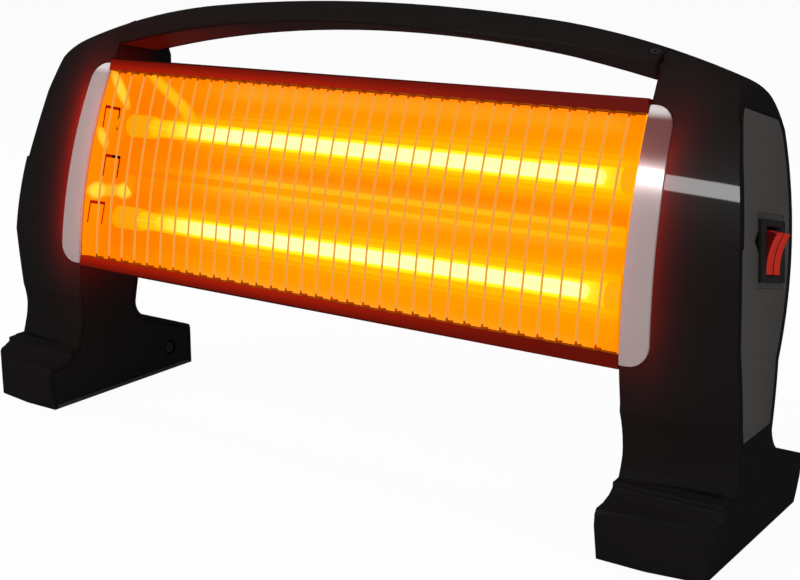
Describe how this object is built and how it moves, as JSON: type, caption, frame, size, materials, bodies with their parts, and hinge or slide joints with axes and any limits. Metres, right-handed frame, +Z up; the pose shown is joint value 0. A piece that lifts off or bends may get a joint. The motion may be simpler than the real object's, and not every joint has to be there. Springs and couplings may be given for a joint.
{
  "type": "two-bar quartz heater",
  "caption": "Low two-bar quartz heater that leans back between two hollow side stands, with a wire guard, an arched carrying handle and twin rocker switches on one side.",
  "frame": {"origin": "middle of the footprint at floor level", "axes": "+X across the heater to the side with the switches, -Y towards the front, +Z up"},
  "size_m": [0.49, 0.127, 0.2519],
  "materials": {
    "black_plastic": "glossy moulded",
    "grey_plastic": "satin, fine texture",
    "pad_rubber": "matt",
    "screw_steel": "zinc plated",
    "trim_silver": "silver paint, satin",
    "rail_metal": "dark enamel",
    "back_metal": "black, fine texture",
    "guard_steel": "bright drawn wire",
    "reflector_metal": "polished",
    "end_metal": "bright",
    "quartz_glass": "clear quartz",
    "coil_alloy": "hot resistance wire",
    "ceramic": "unglazed ceramic",
    "rocker_red": "glossy red",
    "switch_black": "satin",
    "block_white": "moulded",
    "plunger_white": "moulded",
    "wire_brown": "insulation",
    "wire_blue": "insulation"
  },
  "bodies": {
    "root": {"right_side_shell": "black_plastic", "left_side_shell": "black_plastic", "right_inner_panel": "black_plastic", "left_inner_panel": "black_plastic", "handle_shell": "black_plastic", "handle_underside": "black_plastic", "right_side_cover": "grey_plastic", "left_side_cover": "grey_plastic", "right_base_plate": "grey_plastic", "left_base_plate": "grey_plastic", "rubber_pads": "pad_rubber", "base_screws": "screw_steel", "panel_screws": "screw_steel", "handle_screws": "screw_steel", "cap_clips": "screw_steel", "tube_terminals": "screw_steel", "rocker_pin": "screw_steel", "right_trim": "trim_silver", "left_trim": "trim_silver", "top_rail": "rail_metal", "bottom_rail": "rail_metal", "housing_back": "back_metal", "guard_wires": "guard_steel", "reflector": "reflector_metal", "right_end_plate": "end_metal", "left_end_plate": "end_metal", "upper_quartz_tube": "quartz_glass", "lower_quartz_tube": "quartz_glass", "upper_heating_coil": "coil_alloy", "lower_heating_coil": "coil_alloy", "upper_end_caps": "ceramic", "lower_end_caps": "ceramic", "switch_housing": "switch_black", "tip_switch": "switch_black", "cord_inlet": "switch_black", "terminal_block": "block_white", "mains_wires": "wire_brown", "return_wires": "wire_blue"},
    "front_rocker": {"front_rocker": "rocker_red"},
    "rear_rocker": {"rear_rocker": "rocker_red"},
    "tip_plunger": {"tip_plunger": "plunger_white"}
  },
  "joints": [
    {"name": "front_rocker_hinge", "type": "hinge", "parent": "root", "child": "front_rocker", "pos_m": [0.23441, 0.0114, 0.14369], "axis": [0.0306, 0.9767, -0.2126], "range_deg": [-30, 0]},
    {"name": "rear_rocker_hinge", "type": "hinge", "parent": "root", "child": "rear_rocker", "pos_m": [0.23441, 0.0114, 0.14369], "axis": [0.0306, 0.9767, -0.2126], "range_deg": [-30, 0]},
    {"name": "tip_plunger_slide", "type": "slide", "parent": "root", "child": "tip_plunger", "axis": [0, 0, -1], "range_m": [0, 0.005], "stiffness_N_per_m": 20, "springref_m": 0.012}
  ]
}
